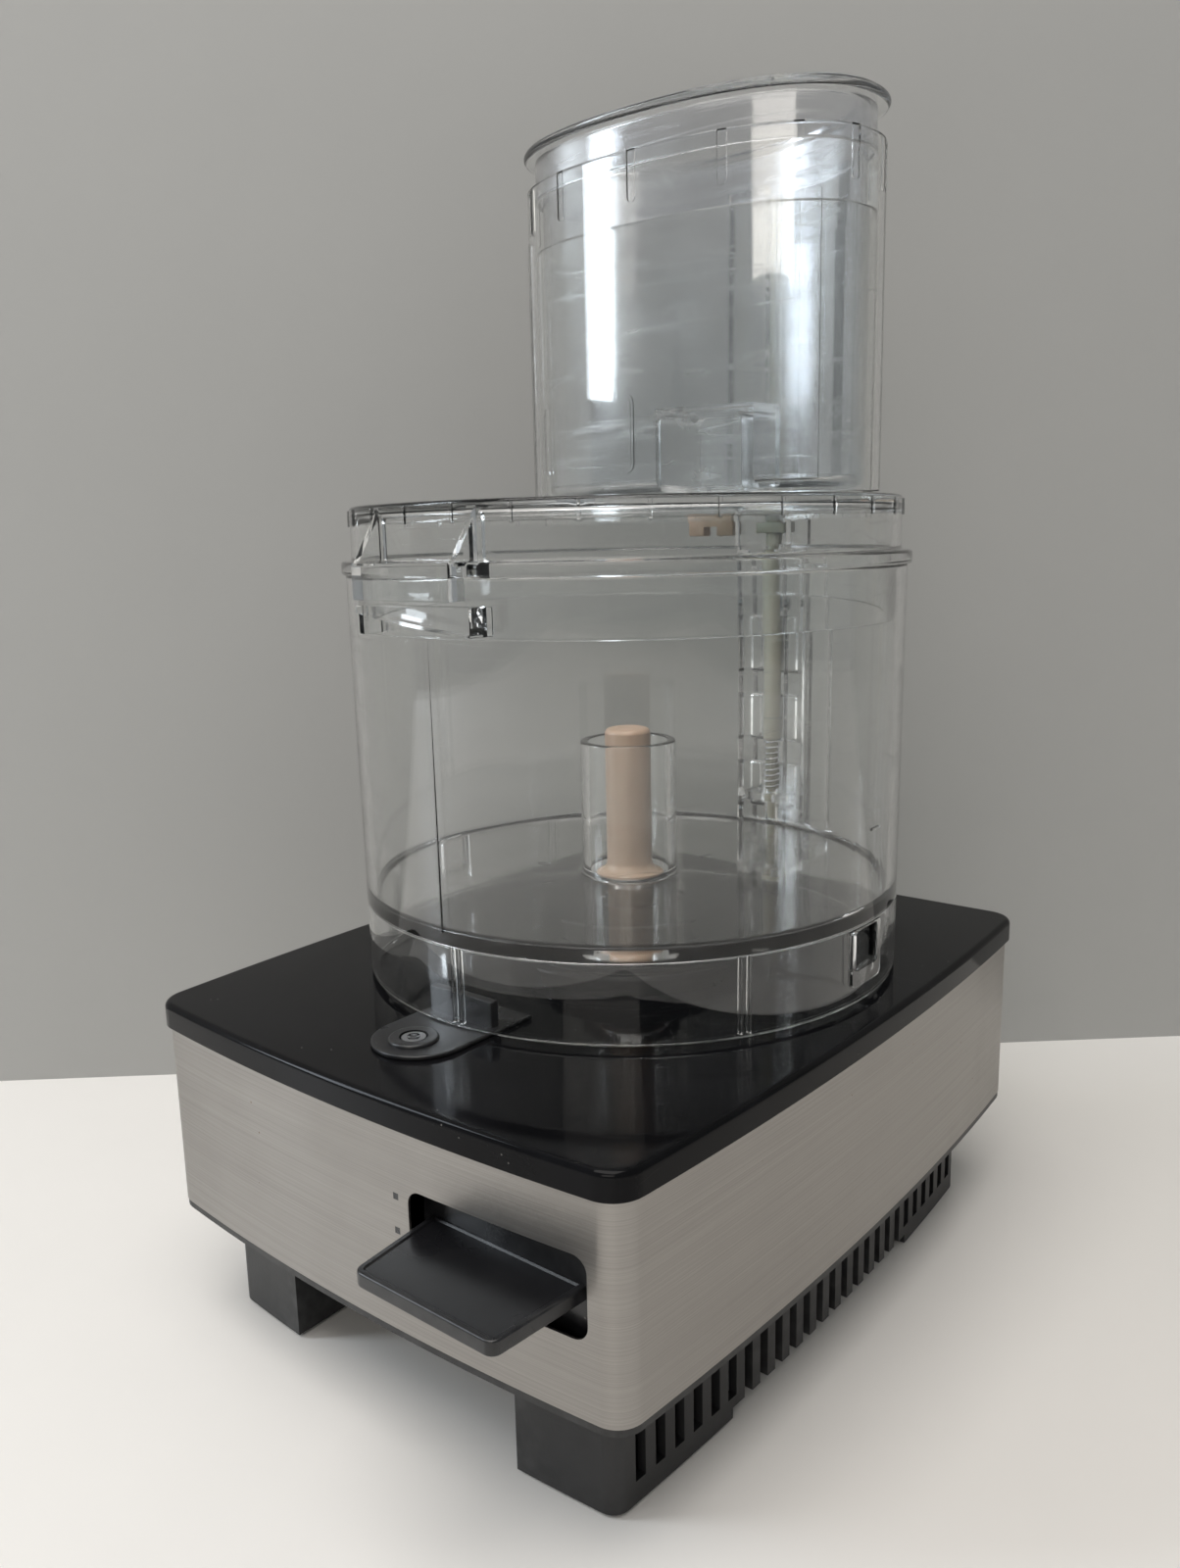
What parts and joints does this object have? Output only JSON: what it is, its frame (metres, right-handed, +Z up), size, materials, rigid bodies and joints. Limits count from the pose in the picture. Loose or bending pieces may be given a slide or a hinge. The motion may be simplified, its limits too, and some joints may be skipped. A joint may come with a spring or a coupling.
{
  "type": "food processor",
  "caption": "Food processor: steel-wrapped motor base with front paddle lever, clear handled bowl over a drive spindle, clear lid with wide oval feed tube, sleeve and pusher.",
  "frame": {"origin": "on the drive spindle's axis, in the plane that the rubber feet stand on", "axes": "+Z up along the spindle, -Y towards the front with the control lever, +Y towards the bowl handle, +X to the right as the user faces the lever"},
  "size_m": [0.1892, 0.2697, 0.363],
  "materials": {
    "steel": "brushed",
    "cover_black": "gloss",
    "housing_black": "satin",
    "lever_black": "satin",
    "clear": "gloss",
    "cream": "satin",
    "ivory": "satin",
    "rubber": "matte",
    "fastener": "plated",
    "lamination": "varnished",
    "copper": "enamelled wire",
    "alloy": "cast",
    "bronze": "sintered",
    "shaft_steel": "ground",
    "switch_grey": "satin",
    "capacitor_can": "drawn",
    "spring_wire": "bright"
  },
  "bodies": {
    "base": {"steel_wrap": "steel", "top_cover": "cover_black", "bowl_latch_clip": "cover_black", "latch_screws": "fastener", "bottom_housing": "housing_black", "rear_panel": "housing_black", "rubber_feet": "rubber", "housing_screws": "fastener", "cord_gland": "rubber", "lever_pin": "shaft_steel", "control_switch": "switch_grey", "stator_core": "lamination", "stator_windings": "copper", "lower_motor_bracket": "alloy", "upper_motor_bracket": "alloy", "lower_bush": "bronze", "upper_bush": "bronze", "motor_bolts": "fastener", "motor_grommets": "rubber", "shaft_seal": "rubber", "run_capacitor": "capacitor_can", "capacitor_strap": "housing_black", "interlock_switch": "switch_grey"},
    "rotor": {"rotor_core": "lamination", "rotor_end_rings": "alloy", "cooling_fan": "ivory", "motor_shaft": "shaft_steel", "spindle_sheath": "cream"},
    "lever": {"control_lever": "lever_black"},
    "slider": {"switch_slider": "ivory"},
    "plunger": {"interlock_plunger": "ivory", "plunger_spring": "spring_wire"},
    "bowl": {"work_bowl": "clear", "handle_cover": "clear", "handle_screws": "fastener"},
    "rod": {"activating_rod": "ivory", "rod_spring": "spring_wire"},
    "lid": {"bowl_cover": "clear", "actuator_cap": "ivory"},
    "actuator": {"lid_actuator": "ivory"},
    "sleeve": {"pusher_sleeve": "clear", "sleeve_push_rod": "ivory", "rod_retainer": "ivory"},
    "pusher": {"large_pusher": "clear"}
  },
  "joints": [
    {"name": "rotor_spin", "type": "hinge", "parent": "base", "child": "rotor", "pos_m": [0, 0, 0], "axis": [0, 0, 1], "continuous": true},
    {"name": "lever_tilt", "type": "hinge", "parent": "base", "child": "lever", "pos_m": [0.0515, -0.062, 0.069], "axis": [-1, 0, 0], "range_deg": [-6.5, 6.5]},
    {"name": "slider_move", "type": "slide", "parent": "base", "child": "slider", "axis": [0, 0, 1], "range_m": [-0.0033, 0.0033]},
    {"name": "bowl_lift", "type": "slide", "parent": "base", "child": "bowl", "axis": [0, 0, 1], "range_m": [0, 0.09]},
    {"name": "lid_lift", "type": "slide", "parent": "bowl", "child": "lid", "axis": [0, 0, 1], "range_m": [0, 0.12]},
    {"name": "sleeve_lift", "type": "slide", "parent": "lid", "child": "sleeve", "axis": [0, 0, 1], "range_m": [0, 0.09]},
    {"name": "pusher_lift", "type": "slide", "parent": "sleeve", "child": "pusher", "axis": [0, 0, 1], "range_m": [0, 0.1]},
    {"name": "rod_press", "type": "slide", "parent": "bowl", "child": "rod", "axis": [0, 0, 1], "range_m": [-0.004, 0], "stiffness_N_per_m": 300, "springref_m": 0.003, "deforming": ["rod_spring"]},
    {"name": "plunger_press", "type": "slide", "parent": "base", "child": "plunger", "axis": [0, 0, 1], "range_m": [-0.004, 0], "stiffness_N_per_m": 200, "springref_m": 0.003, "deforming": ["plunger_spring"]},
    {"name": "actuator_press", "type": "slide", "parent": "lid", "child": "actuator", "axis": [0, 0, 1], "range_m": [-0.004, 0], "stiffness_N_per_m": 200, "springref_m": 0.003}
  ],
  "couplings": [
    {"joint": "slider_move", "follows": "lever_tilt", "m_per_rad": 0.028},
    {"joint": "plunger_press", "follows": "rod_press", "ratio": 1},
    {"joint": "actuator_press", "follows": "rod_press", "ratio": 1}
  ]
}
